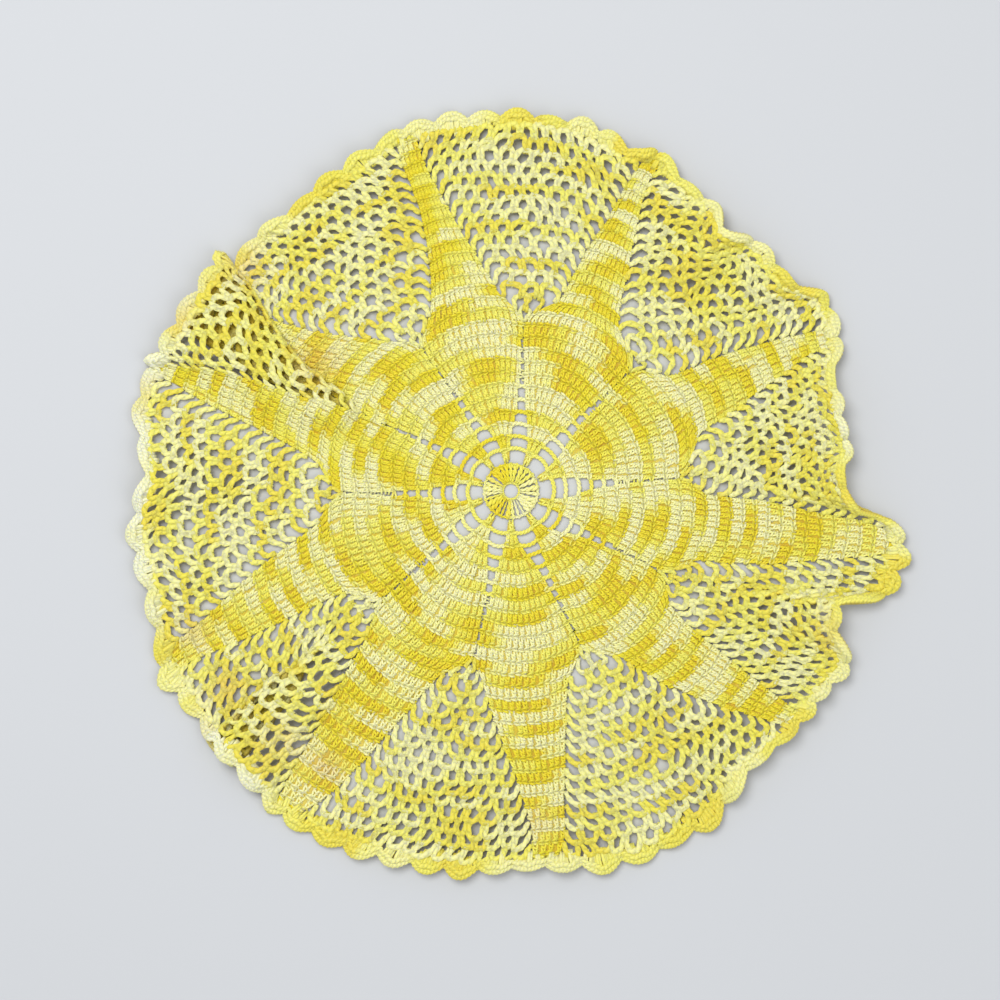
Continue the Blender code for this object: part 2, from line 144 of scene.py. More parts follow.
# The rim: at each angle, how far it reaches from the ring's middle, and how high its ruffle stands.
Rim = namedtuple("Rim", "deg reach lift")
RIM = [
    Rim(25.2, 179.0, 4),
    Rim(31.6, 183.0, 2),
    Rim(37.6, 171.5, 8),
    Rim(45.6, 172.0, 9),
    Rim(50.0, 165.0, 14),
    Rim(54.0, 171.5, 9),
    Rim(60.5, 175.0, 8),
    Rim(66.6, 183.0, 5),
    Rim(69.6, 178.5, 7),
    Rim(76.0, 184.0, 3),
    Rim(86.7, 186.0, 5),
    Rim(97.0, 187.0, 2),
    Rim(106.6, 188.0, 2),
    Rim(114.0, 181.0, 5),
    Rim(124.5, 178.0, 5),
    Rim(131.0, 176.0, 6),
    Rim(136.0, 178.5, 3),
    Rim(143.5, 177.0, 1),
    Rim(152.0, 177.0, 0),
    Rim(156.0, 178.0, 0),
    Rim(158.4, 185.0, 0),
    Rim(160.5, 189.0, 0),
    Rim(167.0, 191.0, 0),
    Rim(172.5, 185.5, 4),
    Rim(178.0, 181.0, 7),
    Rim(184.0, 187.0, 3),
    Rim(188.5, 189.0, 1),
    Rim(196.0, 187.0, 4),
    Rim(201.0, 189.5, 2),
    Rim(206.9, 196.0, 0),
    Rim(215.2, 192.0, 2),
    Rim(228.0, 193.0, 2),
    Rim(234.5, 198.0, 0),
    Rim(241.5, 197.5, 0),
    Rim(250.5, 193.0, 3),
    Rim(262.0, 190.0, 3),
    Rim(275.0, 187.5, 5),
    Rim(284.0, 191.5, 3),
    Rim(294.0, 194.0, 0),
    Rim(302.0, 190.5, 2),
    Rim(311.4, 181.5, 8),
    Rim(319.5, 183.0, 8),
    Rim(327.0, 184.0, 7),
    Rim(332.5, 188.0, 6),
    Rim(337.7, 173.0, 13),
    Rim(340.6, 171.0, 11),
    Rim(342.8, 184.0, 6),
    Rim(345.2, 195.5, 3),
    Rim(352.2, 196.5, 3),
    Rim(355.4, 189.0, 5),
    Rim(357.4, 171.0, 11),
    Rim(360.0, 165.0, 14),
    Rim(363.0, 163.0, 15),
    Rim(366.5, 167.5, 12),
    Rim(372.5, 166.0, 14),
    Rim(379.0, 169.0, 11),
]

# The two pleats, each in the net after its petal, where the cloth is doubled back over itself.
Crease = namedtuple("Crease", "row first second down over under step")
Pleat = namedtuple("Pleat", "petal creases")
PLEATS = [
    Pleat(3, [
        Crease(11.2, 3.49, 3.51, 3.90, 0.0, 0.0, 0.0),
        Crease(12.3, 3.42, 3.56, 4.00, 1.8, 2.2, 2.6),
        Crease(13.5, 3.38, 3.585, 4.05, 3.6, 4.6, 3.2),
        Crease(17.5, 3.257, 3.533, 4.15, 3.4, 13.9, 3.2),
        Crease(21.5, 3.19, 3.51, 4.10, 5.0, 25.1, 3.2),
        Crease(25.5, 3.13, 3.45, 4.05, 4.0, 39.2, 3.2),
        Crease(28.5, 3.10, 3.425, 4.05, 3.0, 45.6, 3.2),
    ]),
    Pleat(5, [
        Crease(14.5, 5.42, 5.60, 5.95, 0.0, 0.0, 0.0),
        Crease(17.5, 5.44, 5.60, 5.95, 2.5, 2.5, 2.2),
        Crease(19.4, 5.45, 5.60, 5.95, 7.0, 6.2, 3.2),
        Crease(21.5, 5.465, 5.60, 5.95, 11.9, 9.7, 3.2),
        Crease(25.5, 5.479, 5.611, 5.95, 15.3, 11.2, 3.2),
        Crease(28.5, 5.48, 5.61, 5.95, 16.0, 13.0, 3.2),
    ]),
]


def smooth(x):
    """0 below 0, 1 above 1, and an eased step between."""
    t = np.clip(x, 0.0, 1.0)
    return t * t * (3 - 2 * t)


def curve_through(at, value):
    """A smooth curve through the rows of values that never overshoots one, level at both ends."""
    value = np.asarray(value, float)
    width = np.diff(at).reshape(-1, *[1] * (value.ndim - 1))
    slope = np.diff(value, axis=0) / width
    before, after = slope[:-1], slope[1:]
    one_way = before * after > 0
    safe_before = np.where(one_way, before, 1.0)
    safe_after = np.where(one_way, after, 1.0)
    weight_a = 2 * width[1:] + width[:-1]
    weight_b = width[1:] + 2 * width[:-1]
    mean = (weight_a + weight_b) / (weight_a / safe_before + weight_b / safe_after)
    level = np.zeros_like(value[:1])
    tangent = np.concatenate([level, np.where(one_way, mean, 0.0), level])

    def pick(rows, i):
        return rows[i] if rows.ndim == 1 else np.take_along_axis(rows, i[None], 0)[0]

    def curve(x):
        i = np.clip(np.searchsorted(at, x, side="right") - 1, 0, len(at) - 2)
        span = np.diff(at)[i]
        t = np.clip((x - np.asarray(at)[i]) / span, 0.0, 1.0)
        start = pick(value, i) * (1 + 2 * t) * (1 - t) ** 2 + pick(tangent, i) * span * t * (1 - t) ** 2
        end = pick(value, i + 1) * t * t * (3 - 2 * t) - pick(tangent, i + 1) * span * t * t * (1 - t)
        return start + end

    return curve


def lines_through(at, value):
    """Straight lines from row to row of values."""
    return lambda x: np.interp(x, at, value)


def round_the_work(table, column, whole, turn=0.0, join=curve_through):
    """A curve through one column of a table, over its first, that closes on itself having grown by turn."""
    at = np.array([row[0] for row in table])
    value = np.array([getattr(row, column) for row in table], float)
    at = np.concatenate([at[-3:] - whole, at, at[:3] + whole])
    value = np.concatenate([value[-3:] - turn, value, value[:3] + turn])
    return join(at, value)


SPOKE_DEGS = [round_the_work(SPOKES, column, SECTORS, 360) for column in Spoke._fields[1:]]
EDGE_DEGS = [round_the_work(EDGES, column, SECTORS, 360, lines_through) for column in Edge._fields[1:]]
REACH = round_the_work(RIM, "reach", 360)
LIFT = round_the_work(RIM, "lift", 360)
STATIONS = np.array([0.0, ROOT_ROW, WAIST_ROW, *NET_ROWS, RIM_ROW])


def arc(row):
    """How long a sector is along a row of the work."""
    return 2 * math.pi * (RING_RADIUS + ROW_HEIGHT * np.asarray(row, float)) / SECTORS


def petal_share(row):
    """Half of a petal's width at a row, in sectors: two stitches wider each row, until it narrows."""
    growing = STITCH_WIDTH * np.maximum(2 * np.asarray(row, float) - 1, 1)
    narrowing = np.interp(row, *zip(*NARROWING))
    met = np.minimum(growing, arc(row) - SEAM_WIDTH)
    return np.where(np.asarray(row) < NARROWING[0].row, met, np.minimum(met, narrowing)) / arc(row) / 2


def net_share(row):
    """Half of the gap or net between two petals at a row, in sectors."""
    return 0.5 - petal_share(row)


def as_place(row, sector):
    """A sector's place between the edges: a petal's sides are a quarter from its middle at every row."""
    petal = np.round(sector)
    off = np.abs(sector - petal)
    half = petal_share(row)
    in_net = 0.5 - (0.5 - off) / (0.5 - half) * (0.5 - SIDE)
    return petal + np.sign(sector - petal) * np.where(off < half, off / half * SIDE, in_net)


def as_sector(row, place):
    """The sector of a place at a row."""
    petal = np.round(place)
    off = np.abs(place - petal)
    half = petal_share(row)
    in_net = 0.5 - (0.5 - off) / (0.5 - SIDE) * (0.5 - half)
    return petal + np.sign(place - petal) * np.where(off < SIDE, off / SIDE * half, in_net)


def spread(row, sector):
    """Each point's angle, distance from the ring's middle and height, before the pleats are laid."""
    row, sector = np.broadcast_arrays(np.atleast_1d(np.asarray(row, float)), sector)
    outside = np.maximum(row, 0.0)
    place = as_place(outside, sector)
    degrees = [degree(as_sector(at, place)) for at, degree in zip(STATIONS, SPOKE_DEGS)]
    degrees += [degree(place) for degree in EDGE_DEGS]
    angle = np.radians(curve_through(STATIONS, degrees)(outside))
    at_rim = (degrees[-1] - RIM[0].deg) % 360 + RIM[0].deg
    past_waist = np.clip((row - WAIST_ROW) / (RIM_ROW - WAIST_ROW), 0.0, None)
    reach = RING_RADIUS + ROW_HEIGHT * row + (REACH(at_rim) - FLAT_REACH) * past_waist**2
    return angle, reach, LIFT(at_rim) * past_waist**LIFT_POWER


def creases(pleat, row):
    """The pleat's own table, read off at any row of the work."""
    stations = np.array([crease.row for crease in pleat.creases])
    read = [curve_through(stations, column) for column in zip(*pleat.creases)]
    return Crease(*[column(np.asarray(row, float)) for column in read])


def turns(at, row):
    """Where the cloth stands upright inside the two creases, and half of a turn, in sectors."""
    (from_angle, reach, _), (to_angle, _, _) = spread(row, at.first), spread(row, at.second)
    drawn = np.maximum((at.over + at.under) / (reach * (to_angle - from_angle)), LEAST_DRAWN)
    upright = (at.second - at.first) * (1 - np.sqrt(1 - 2 / 3 / drawn)) / 2
    lower, upper = at.first + upright, at.second - upright
    return lower, upper, np.minimum(TURN_HALF / arc(row), MOST_OF_FOLD * (upper - lower))


def pleat_folds(pleat, row, sector):
    """How far a point is drawn aside by a pleat, and how high its layer lies."""
    at = creases(pleat, row)
    start, end = pleat.petal + petal_share(row), pleat.petal + 1 - petal_share(row)
    aside = at.over * smooth((sector - start) / (at.first - start))
    aside -= (at.over + at.under) * smooth((sector - at.first) / (at.second - at.first))
    aside += at.under * smooth((sector - at.second) / (end - at.second))
    lower, upper, half = turns(at, row)
    layers = smooth((sector - lower) / half / 2 + 0.5) + smooth((sector - upper) / half / 2 + 0.5)
    clear = 2 * at.second - at.first
    high = at.step * layers * (1 - smooth((sector - clear) / (at.down - clear)))
    folded = row > pleat.creases[0].row
    return np.where(folded, aside, 0.0), np.where(folded, high, 0.0)


def lay(row, sector):
    """Where points of the work lie: the middle of the cloth's thickness."""
    angle, reach, height = spread(row, sector)
    aside = np.zeros_like(angle)
    for pleat in PLEATS:
        more_aside, more_height = pleat_folds(pleat, row, sector)
        aside += more_aside
        height = height + more_height
    x = RING_X + reach * np.cos(angle) - aside * np.sin(angle)
    y = RING_Y + reach * np.sin(angle) + aside * np.cos(angle)
    return np.stack([x, y, THICKNESS / 2 + height], axis=-1)


# How far apart two points are that give the cloth's slope, in rows and in sectors.
SLOPE_ROWS = 0.02
SLOPE_SECTORS = 0.002


def over_cloth(points):
    """Points given by row, sector and height over the cloth's middle, in mm, and which way is up there."""
    row, sector, height = points.reshape(-1, 3).T
    sector = sector % SECTORS
    outwards = lay(row + SLOPE_ROWS, sector) - lay(row - SLOPE_ROWS, sector)
    around = lay(row, sector + SLOPE_SECTORS) - lay(row, sector - SLOPE_SECTORS)
    up = np.cross(outwards, around)
    up /= np.linalg.norm(up, axis=1, keepdims=True)
    laid = lay(row, sector) + up * height[:, None]
    return laid.reshape(points.shape), up.reshape(points.shape)


# The yarn: how much of it each stitch takes, in metres, from the first stitch of the ring to the last of
# the edge. Its shades follow its own length, which is what puts whole rows of a petal in one shade.
YARN_PER_STITCH = 0.033
YARN_PER_LOOP = 0.062
YARN_OF_RING = 1.5
NET_FIRST_ROW = 11.2
NET_TIERS = 16

# How unevenly the yarn is drawn, in metres from sector to sector, which shifts the shades' places.
TENSION_UNEVEN = 0.04
rng = np.random.default_rng(10)


def worked_at(row):
    """Where a row's width is measured: at its top while the petal grows, and then half way up it."""
    return np.where(row < WAIST_ROW, row, row - 0.5)


def stitches_in(row):
    """How many stitches a petal has in the row that ends at this one."""
    at = worked_at(row)
    return np.maximum(np.round(2 * petal_share(at) * arc(at) / STITCH_WIDTH), 1).astype(int)


def loops_in(row):
    """How many loops a fan of the net has in the row that ends at this one."""
    return np.clip(np.floor(row - NET_FIRST_ROW) + 1, 0, NET_TIERS).astype(int)


ROUNDS = np.arange(1, 31)
ROUND_YARN = SECTORS * (stitches_in(ROUNDS) * YARN_PER_STITCH + loops_in(ROUNDS) * YARN_PER_LOOP)
YARN_BEFORE = np.concatenate([[0.0, YARN_OF_RING], YARN_OF_RING + np.cumsum(ROUND_YARN)])
TENSION = np.cumsum(rng.normal(0, TENSION_UNEVEN, (len(ROUNDS) + 2) * SECTORS))


def yarn_at(row, sector):
    """The yarn worked before a stitch: the rounds inside it, the sectors before it, and its own so far."""
    this = np.clip(np.ceil(row), 1, len(ROUNDS)).astype(int)
    petal_yarn, net_yarn = stitches_in(this) * YARN_PER_STITCH, loops_in(this) * YARN_PER_LOOP
    half = petal_share(this - 0.5)
    whole = np.floor(sector + half)
    part = sector + half - whole
    uneven = TENSION[(this * SECTORS + whole).astype(int)]
    in_petal = np.minimum(part / (2 * half), 1.0) * petal_yarn
    in_net = np.clip((part - 2 * half) / (1 - 2 * half), 0.0, 1.0) * net_yarn
    return YARN_BEFORE[this] + whole * (petal_yarn + net_yarn) + in_petal + in_net + uneven


def to_linear(colour):
    """An sRGB hex value as the linear colour that a shader takes."""
    parts = [int(colour[place : place + 2], 16) / 255 for place in (1, 3, 5)]
    return (*[c / 12.92 if c <= 0.04045 else ((c + 0.055) / 1.055) ** 2.4 for c in parts], 1.0)


def add_node(tree, kind, links=None, **settings):
    """A node of the tree, with its settings, and its inputs set or linked by name or number."""
    node = tree.nodes.new(kind)
    for name, value in settings.items():
        setattr(node, name, value)
    for socket, value in (links or {}).items():
        if isinstance(value, bpy.types.NodeSocket):
            tree.links.new(value, node.inputs[socket])
        else:
            node.inputs[socket].default_value = value
    return node


# Variegated mercerised cotton: dyed in the hank, so that its shade runs from cream through lemon to gold
# and back every so many metres. Mercerising leaves it smooth, with a soft sheen and no fuzz to speak of.
Shade = namedtuple("Shade", "place colour")
SHADES = [
    Shade(0.00, "#F3F0B2"),
    Shade(0.22, "#F2EFA4"),
    Shade(0.25, "#EFE96C"),
    Shade(0.40, "#EEE65A"),
    Shade(0.43, "#EADB22"),
    Shade(0.58, "#E8D21A"),
    Shade(0.60, "#F1ED8C"),
    Shade(0.72, "#F3F0AC"),
    Shade(0.74, "#EEE55A"),
    Shade(0.80, "#ECE146"),
    Shade(0.82, "#E7D116"),
    Shade(0.92, "#EADA2C"),
    Shade(0.95, "#F1EB7C"),
    Shade(1.00, "#F3F0B2"),
]

# The metres of yarn from one run of shades to the next, and how far into a run the work starts.
DYE_LENGTH = 1.42
DYE_START = 0.3

# Three plies, whose ridges cross the strand every 2.2 mm: twice as coarse as the real ones, to show.
PLY_PITCH = 2.2
PLIES = 3

# Painted shade, in linear colours: what is left of light where it comes from deep among the strands. The
# colour is multiplied by it on the strands' lower sides and all over the ground.
DEEP_SHADE = (0.70, 0.58, 0.20, 1)


def cotton(name):
    """The yarn's material."""
    material = bpy.data.materials.new(name)
    material.use_nodes = True
    tree = material.node_tree
    shader = tree.nodes["Principled BSDF"]
    yarn = add_node(tree, "ShaderNodeAttribute", attribute_name="yarn")
    start = add_node(tree, "ShaderNodeMath", {0: yarn.outputs["Fac"], 1: DYE_START}, operation="ADD")
    runs = add_node(tree, "ShaderNodeMath", {0: start.outputs[0], 1: DYE_LENGTH}, operation="DIVIDE")
    run = add_node(tree, "ShaderNodeMath", {0: runs.outputs[0]}, operation="FRACT")
    ramp = add_node(tree, "ShaderNodeValToRGB", {0: run.outputs[0]})
    marks = ramp.color_ramp.elements
    while len(marks) < len(SHADES):
        marks.new(0.5)
    for mark, shade in zip(marks, SHADES):
        mark.position = shade.place
        mark.color = to_linear(shade.colour)
    colour = ramp.outputs[0]
    # Old stains, yarn bleached or faded by the sun, and painted shade: the deeper yellow of light that has
    # come from yarn to yarn before it leaves, multiplied in on the strands' lower sides and over the whole
    # ground.
    for label, tint, blend in (
        ("stain", to_linear("#D9A763"), "MIX"),
        ("faded", to_linear("#EBE688"), "MIX"),
        ("bleached", to_linear("#EEF1E2"), "MIX"),
        ("painted_shade", DEEP_SHADE, "MULTIPLY"),
    ):
        amount = add_node(tree, "ShaderNodeAttribute", attribute_name=label)
        links = {"Factor": amount.outputs["Fac"], 6: colour, 7: tint}
        colour = add_node(tree, "ShaderNodeMix", links, data_type="RGBA", blend_type=blend).outputs[2]
    tree.links.new(colour, shader.inputs["Base Color"])
    # The plies, twisted round each other along the strand.
    twist = add_node(tree, "ShaderNodeUVMap", uv_map="Twist")
    parts = add_node(tree, "ShaderNodeSeparateXYZ", {0: twist.outputs[0]})
    turned = {0: parts.outputs["Y"], 1: 2 * math.pi * PLIES, 2: parts.outputs["X"]}
    ply = add_node(tree, "ShaderNodeMath", turned, operation="MULTIPLY_ADD")
    ridge = add_node(tree, "ShaderNodeMath", {0: ply.outputs[0]}, operation="SINE")
    raised = {"Strength": 0.35, "Distance": 0.0001, "Height": ridge.outputs[0]}
    bump = add_node(tree, "ShaderNodeBump", raised)
    tree.links.new(bump.outputs[0], shader.inputs["Normal"])
    shader.inputs["Roughness"].default_value = 0.62
    shader.inputs["IOR"].default_value = 1.5
    shader.inputs["Sheen Weight"].default_value = 0.15
    shader.inputs["Sheen Roughness"].default_value = 0.5
    shader.inputs["Subsurface Weight"].default_value = 0.4
    shader.inputs["Subsurface Radius"].default_value = (1.0, 0.85, 0.25)
    shader.inputs["Subsurface Scale"].default_value = 0.0012
    return material


COTTON = cotton("variegated crochet cotton")

# Old stains on the cloth, where they lie in mm and how strong each is.
Patch = namedtuple("Patch", "x y radius strength")
STAINS = [
    Patch(-134, 112, 11, 0.45),
    Patch(-166, 86, 8, 0.35),
    Patch(-160, -67, 9, 0.35),
    Patch(-144, -96, 10, 0.4),
    Patch(-116, -122, 12, 0.35),
    Patch(-94, -134, 9, 0.35),
    Patch(152, -66, 9, 0.3),
    Patch(-98, 64, 12, 0.35),
    Patch(11, -160, 8, 0.2),
]

# The lowest that any strand lies over the table, in mm.
TABLE_GAP = 0.05


def patches_at(points, patches):
    """How strong the patches are at each point, in mm."""
    amount = np.zeros(len(points))
    for patch in patches:
        off = np.hypot(points[:, 0] - patch.x, points[:, 1] - patch.y)
        amount = np.maximum(amount, patch.strength * np.exp(-((off / patch.radius) ** 2)))
    return amount


def make_piece(name, points, quads, yarn, painted_shade, baked, twist, faded=0.0, bleached=()):
    """A mesh of quads, in mm, with its yarn at each point and its two maps at each corner."""
    points[:, 2] = np.maximum(points[:, 2], TABLE_GAP)
    mesh = bpy.data.meshes.new(name)
    mesh.vertices.add(len(points))
    mesh.vertices.foreach_set("co", (points * MM).astype(np.float32).ravel())
    mesh.loops.add(quads.size)
    mesh.loops.foreach_set("vertex_index", quads.astype(np.int32).ravel())
    mesh.polygons.add(len(quads))
    mesh.polygons.foreach_set("loop_start", np.arange(len(quads), dtype=np.int32) * 4)
    mesh.polygons.foreach_set("loop_total", np.full(len(quads), 4, np.int32))
    for label, corners in (("OFBake", baked), ("Twist", twist)):
        layer = mesh.uv_layers.new(name=label)
        layer.data.foreach_set("uv", corners.astype(np.float32).ravel())
    # Each point's painted shade: how far its colour is darkened by DEEP_SHADE, little on a strand's top, much
    # on its lower sides, and fully on the ground.
    at_points = {
        "yarn": yarn,
        "painted_shade": painted_shade,
        "stain": patches_at(points, STAINS),
        "bleached": patches_at(points, bleached),
        "faded": np.full(len(points), faded),
    }
    for label, value in at_points.items():
        mesh.attributes.new(label, "FLOAT", "POINT").data.foreach_set("value", value.astype(np.float32))
    mesh.update()
    mesh.validate()
    mesh.shade_smooth()
    mesh.materials.append(COTTON)
    piece = bpy.data.objects.new(name, mesh)
    bpy.context.scene.collection.objects.link(piece)
    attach(piece, "root")
    return piece


# The ground's own sizes: how high and thick it is, in mm, the share of a petal's width that it fills, and
# how far apart its points are.
GROUND_TOP = 0.4
GROUND_THICK = 0.8
GROUND_INSET = 0.97
GROUND_COLUMNS = 12
GROUND_ROW_STEP = 0.4
FIRST_PETAL_ROW = 0.1
LAST_PETAL_ROW = 27.5

# The ground of the edge, in rows: how deep it is at a crest and in a valley, and how far inside the rim.
EDGE_BAND = 0.75
VALLEY_BAND = 0.2
UNDER_RIM = 0.2
EDGE_LINES = 4
EDGE_COLUMNS = 49

# Where a sheet's two faces lie in its cell of the map.
FACE_SIZE = [0.48, 0.94]
TOP_FACE = [0.01, 0.03]
UNDER_FACE = [0.51, 0.03]

# No two scallops of the edge are quite as long, and each stands up by a different height, in mm.
CREST_UNEVEN = 0.3
MOST_TILT = 2.2
CRESTS = 1 + rng.normal(0, CREST_UNEVEN, SECTORS * SCALLOPS)
TILTS = rng.uniform(0, MOST_TILT, SECTORS * SCALLOPS)

# A petal's rows bow outwards between its sides: at these rows, by so much of a row.
BOWED_ROWS = [1.0, 6.0, 11.0, 20.0, 27.5]
BOWED_BY = [0.0, 0.3, 0.4, 0.15, 0.0]


def bow(row, side):
    """How much further out a petal's row lies than at its sides, which are -1 and 1."""
    return np.interp(row, BOWED_ROWS, BOWED_BY) * (1 - np.clip(side, -1, 1) ** 2)


def sheet_between(rows, sectors):
    """Points in row, sector and height for a thin closed sheet, its faces, and each point's map place."""
    down, across = rows.shape
    top = np.stack([rows, sectors, np.full(rows.shape, GROUND_TOP)], -1)
    bottom = np.stack([rows, sectors, np.full(rows.shape, GROUND_TOP - GROUND_THICK)], -1)
    index = np.arange(down * across).reshape(down, across)
    face = np.stack([index[:-1, :-1], index[1:, :-1], index[1:, 1:], index[:-1, 1:]], -1).reshape(-1, 4)
    under = face[:, ::-1] + down * across
    rim = np.concatenate([index[0, :-1], index[:-1, -1], index[-1, :0:-1], index[:0:-1, 0]])
    after = np.roll(rim, -1)
    wall = np.stack([rim, after, after + down * across, rim + down * across], -1)
    u, v = np.meshgrid(np.linspace(0, 1, across), np.linspace(0, 1, down))
    flat = np.stack([u, v], -1).reshape(-1, 2)
    maps = np.concatenate([flat * FACE_SIZE + TOP_FACE, flat * FACE_SIZE + UNDER_FACE])
    points = np.concatenate([top.reshape(-1, 3), bottom.reshape(-1, 3)])
    return points, np.concatenate([face, under, wall]), maps


def ground_sheets():
    """The sheets of the ground: one for each petal, and one for each sector's edge."""
    rows = np.arange(FIRST_PETAL_ROW, LAST_PETAL_ROW, GROUND_ROW_STEP)
    across = np.linspace(-GROUND_INSET, GROUND_INSET, GROUND_COLUMNS + 1)
    for petal in range(SECTORS):
        row, side = np.meshgrid(rows, across, indexing="ij")
        yield row, petal + side * petal_share(row)
    lines, columns = np.linspace(0, 1, EDGE_LINES), np.linspace(0, 1, EDGE_COLUMNS)
    for start in range(SECTORS):
        part, sector = np.meshgrid(lines, start + columns, indexing="ij")
        yield rim_row(sector) - UNDER_RIM - band_depth(sector) * (1 - part), sector


def scallop_at(sector):
    """Which scallop of the edge a sector is in."""
    return np.floor(np.asarray(sector) * SCALLOPS).astype(int) % (SECTORS * SCALLOPS)


def swell_at(sector):
    """0 between two scallops, 1 over the top of one."""
    return np.minimum(1.0, np.abs(np.sin(math.pi * SCALLOPS * sector)) / math.sin(math.pi * SHOULDER))


def rim_row(sector):
    """The row where the scalloped edge ends."""
    return RIM_ROW - SCALLOP_DEPTH * (1 - swell_at(sector) * CRESTS[scallop_at(sector)])


def band_depth(sector):
    """How deep the close-worked edge is, in rows."""
    return VALLEY_BAND + (EDGE_BAND - VALLEY_BAND) * swell_at(sector)


def make_ground():
    """The whole ground as one piece."""
    gathered, count = [], 0
    sheets = list(ground_sheets())
    grid = math.ceil(math.sqrt(len(sheets)))
    for number, sheet in enumerate(sheets):
        points, faces, cell = sheet_between(*sheet)
        gathered.append((points, faces + count, (cell + [number % grid, number // grid]) / grid))
        count += len(points)
    points, faces, maps = map(np.concatenate, zip(*gathered))
    laid, _ = over_cloth(points)
    row, sector = points[:, 0], points[:, 1]
    yarn = yarn_at(row - bow(row, (sector - np.round(sector)) / petal_share(row)), sector)
    twist = np.zeros((faces.size, 2))
    # The ground is darkened all over with painted shade, as deep as DEEP_SHADE goes, at every point.
    return make_piece("ground", laid, faces, yarn, np.ones(len(points)), maps[faces.ravel()], twist)


ground = make_ground()
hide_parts("doily")

# ----------------------------------------------------------------------
# The petals: ten of them, each a wedge of double crochet that grows two stitches a row until it meets its
# neighbours, and then narrows to its tip. Every stitch is a post of two strands that cross, one strand
# wrapped over them, and a V of two more along its top, hooked through the V below.
# ----------------------------------------------------------------------

PETAL_ROWS = 28
LAST_ROW_HEIGHT = 0.5
PETALS_TO_A_PIECE = (4, 3, 3)

# One stitch's strands: each one's radius in mm, and its points, by how far across the stitch they lie (-0.5
# to 0.5), how far up its row, and how high over the cloth's middle in mm. Two strands of the post cross
# under its head, one is wrapped over them, and two lie along its top as a V.
Strand = namedtuple("Strand", "radius across up_row high")
DOUBLE_CROCHET = [
    Strand(
        0.70,
        across=[-0.25, -0.27, -0.20, -0.02, 0.16],
        up_row=[-0.06, 0.22, 0.48, 0.74, 0.98],
        high=[0.10, 0.42, 0.60, 0.56, 0.20],
    ),
    Strand(
        0.70,
        across=[0.25, 0.25, 0.24, 0.18, -0.18],
        up_row=[-0.06, 0.24, 0.48, 0.72, 0.98],
        high=[0.10, 0.46, 0.52, 0.50, 0.20],
    ),
    Strand(
        0.62,
        across=[-0.46, -0.20, 0.18, 0.46],
        up_row=[0.20, 0.30, 0.42, 0.52],
        high=[0.20, 0.92, 1.02, 0.20],
    ),
    Strand(0.66, across=[-0.55, -0.10, 0.45], up_row=[0.97, 1.06, 1.07], high=[0.50, 0.78, 0.46]),
    Strand(0.66, across=[-0.55, -0.10, 0.45], up_row=[0.90, 0.74, 0.76], high=[0.50, 0.86, 0.48]),
]
STITCH_UNEVEN = 0.09

# Past the waist a petal narrows by its outermost stitches leaning in: the higher the power, the fewer lean.
SIDE_LEAN = 4

# How far a petal's side laps over the seam, in mm, once past its first rows.
SEAM_LAP = 0.28
LAP_ROW = 3

# A strand is a tube of four sides, which its smooth shading rounds off. It has a cell of the map to itself:
# its wall goes along it one way and round it the other, and each end has a patch.
SIDES = 4
WALL_FROM, WALL_SIZE = [0.10, 0.08], [0.80, 0.84]
START_PATCH = [[0.02, 0.2], [0.06, 0.2], [0.06, 0.6], [0.02, 0.6]]
STOP_PATCH = [[0.93, 0.2], [0.97, 0.2], [0.97, 0.6], [0.93, 0.6]]


def unit(vectors):
    """The vectors, each made one long."""
    return vectors / (np.linalg.norm(vectors, axis=-1, keepdims=True) + 1e-9)


def tube(count):
    """A strand of so many points: its faces, its wall corners' points and sides, and its cell of the map."""
    ring = np.arange(count * SIDES).reshape(count, SIDES)
    beside = np.roll(ring, -1, 1)
    wall = np.stack([ring[:-1], beside[:-1], beside[1:], ring[1:]], -1).reshape(-1, 4)
    ends = [ring[0, [0, 3, 2, 1]], ring[-1, [1, 2, 3, 0]]]
    point, side = np.meshgrid(np.arange(count - 1), np.arange(SIDES), indexing="ij")
    point_at = np.stack([point, point, point + 1, point + 1], -1).ravel()
    round_it = np.stack([side, side + 1, side + 1, side], -1).ravel() / SIDES
    cell = np.stack([point_at / (count - 1), round_it], -1) * WALL_SIZE + WALL_FROM
    return np.concatenate([wall, ends]), point_at, round_it, np.concatenate([cell, START_PATCH, STOP_PATCH])


